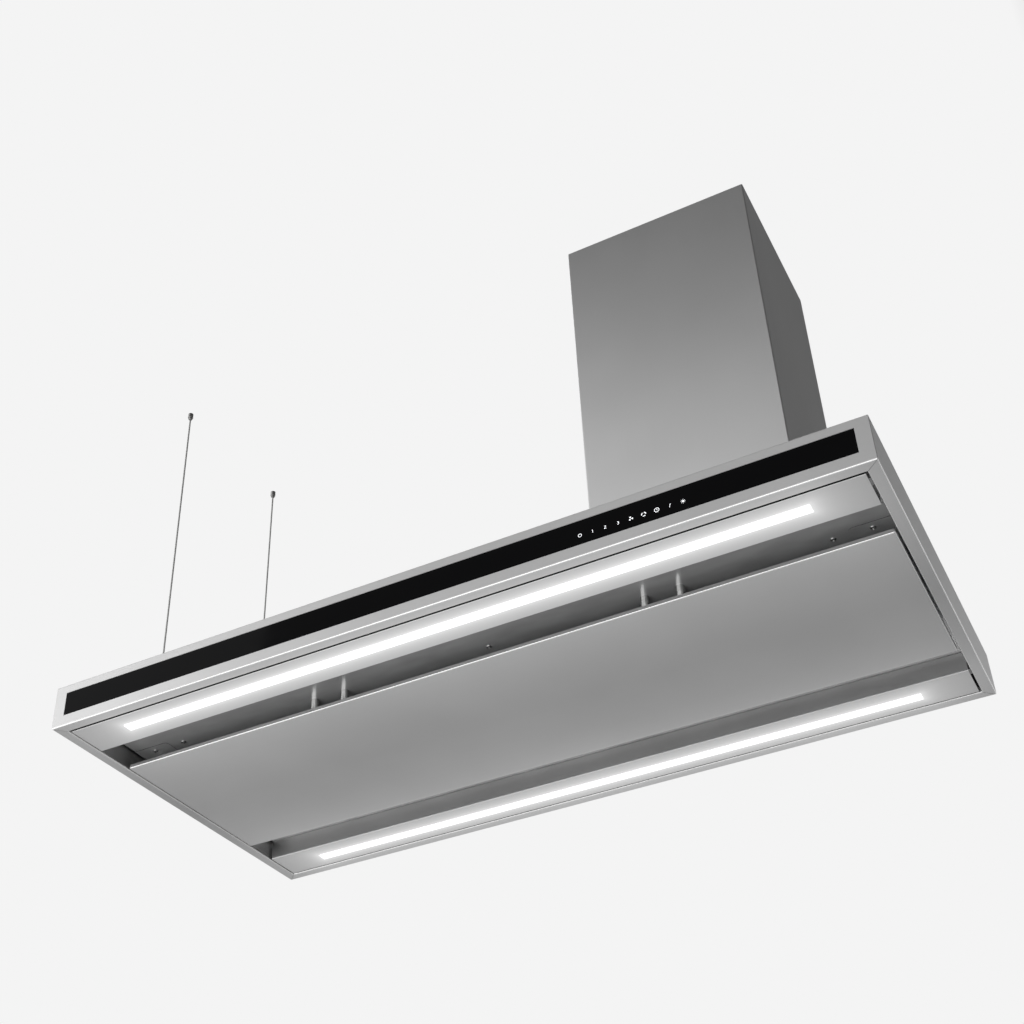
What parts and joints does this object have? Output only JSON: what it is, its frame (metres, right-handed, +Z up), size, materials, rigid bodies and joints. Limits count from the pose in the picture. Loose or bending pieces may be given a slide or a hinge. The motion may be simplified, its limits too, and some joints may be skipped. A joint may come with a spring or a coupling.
{
  "type": "island range hood",
  "caption": "Flat steel island hood hung by an off-centre square chimney and two wires, with a hinged suction panel between perimeter slots and two light strips.",
  "frame": {"origin": "on the ceiling plane, at the centre of the ceiling bracket on the chimney's centreline", "axes": "+Z up, +X along the canopy towards the chimney end, -Y towards the control glass"},
  "size_m": [1.2, 0.6, 0.711],
  "materials": {
    "brushed_steel": "satin brushed",
    "galvanised_steel": "dull zinc coated",
    "filter_aluminium": "satin",
    "bright_steel": "bright",
    "black_glass": "gloss black back-printed",
    "opal_acrylic": "opal, lit",
    "circuit_board": "matte white",
    "dark_plastic": "matte",
    "driver_case": "matte",
    "rubber": "matte",
    "motor_enamel": "semi gloss"
  },
  "bodies": {
    "hood": {"front_fascia": "brushed_steel", "rear_fascia": "brushed_steel", "left_side": "brushed_steel", "right_side": "brushed_steel", "front_light_channel": "brushed_steel", "rear_light_channel": "brushed_steel", "chimney_front": "brushed_steel", "chimney_back": "brushed_steel", "filter_tray": "brushed_steel", "tray_end_plates": "brushed_steel", "top_plate": "brushed_steel", "base_frame": "galvanised_steel", "ceiling_bracket": "galvanised_steel", "frame_posts": "galvanised_steel", "blower_rails": "galvanised_steel", "scroll_wrap": "galvanised_steel", "scroll_front_plate": "galvanised_steel", "scroll_rear_plate": "galvanised_steel", "motor_bracket": "galvanised_steel", "hinge_brackets": "galvanised_steel", "glass_carrier": "galvanised_steel", "outlet_collar": "galvanised_steel", "filter_frame_left": "filter_aluminium", "filter_frame_right": "filter_aluminium", "filter_mesh_left": "filter_aluminium", "filter_mesh_right": "filter_aluminium", "pan_screws": "bright_steel", "hex_bolts": "bright_steel", "hinge_pins": "bright_steel", "flap_pin": "bright_steel", "magnet_posts": "bright_steel", "post_magnets": "bright_steel", "wire_grippers": "bright_steel", "ceiling_anchors": "bright_steel", "wire_front": "bright_steel", "wire_rear": "bright_steel", "control_glass": "black_glass", "front_light_diffuser": "opal_acrylic", "rear_light_diffuser": "opal_acrylic", "front_led_board": "circuit_board", "rear_led_board": "circuit_board", "touch_board": "circuit_board", "control_box": "dark_plastic", "control_box_lid": "dark_plastic", "capacitor": "dark_plastic", "led_driver": "driver_case", "blower_grommets": "rubber", "motor": "motor_enamel"},
    "panel": {"suction_panel": "brushed_steel", "panel_back": "galvanised_steel", "strike_plates": "galvanised_steel", "hinge_leaves": "galvanised_steel"},
    "impeller": {"impeller": "dark_plastic", "motor_shaft": "bright_steel"},
    "flap_left": {"flap_left": "dark_plastic"},
    "flap_right": {"flap_right": "dark_plastic"},
    "latch_left": {"filter_latch_left": "dark_plastic"},
    "latch_right": {"filter_latch_right": "dark_plastic"},
    "plunger_front": {"gripper_plunger_front": "bright_steel"},
    "plunger_rear": {"gripper_plunger_rear": "bright_steel"}
  },
  "joints": [
    {"name": "panel_hinge", "type": "hinge", "parent": "hood", "child": "panel", "pos_m": [-0.324, 0.141, -0.695], "axis": [1, 0, 0], "range_deg": [0, 90]},
    {"name": "impeller_spin", "type": "hinge", "parent": "hood", "child": "impeller", "pos_m": [-0.0495, 0, -0.52], "axis": [0, 1, 0], "continuous": true},
    {"name": "flap_left_pivot", "type": "hinge", "parent": "hood", "child": "flap_left", "pos_m": [0, 0, -0.396], "axis": [0, 1, 0], "range_deg": [0, 80]},
    {"name": "flap_right_pivot", "type": "hinge", "parent": "hood", "child": "flap_right", "pos_m": [0, 0, -0.396], "axis": [0, -1, 0], "range_deg": [0, 80]},
    {"name": "latch_left_slide", "type": "slide", "parent": "hood", "child": "latch_left", "axis": [0, 1, 0], "range_m": [0, 0.006], "stiffness_N_per_m": 400},
    {"name": "latch_right_slide", "type": "slide", "parent": "hood", "child": "latch_right", "axis": [0, 1, 0], "range_m": [0, 0.006], "stiffness_N_per_m": 400},
    {"name": "plunger_front_press", "type": "slide", "parent": "hood", "child": "plunger_front", "axis": [0, 0, -1], "range_m": [0, 0.003], "stiffness_N_per_m": 500},
    {"name": "plunger_rear_press", "type": "slide", "parent": "hood", "child": "plunger_rear", "axis": [0, 0, -1], "range_m": [0, 0.003], "stiffness_N_per_m": 500}
  ]
}
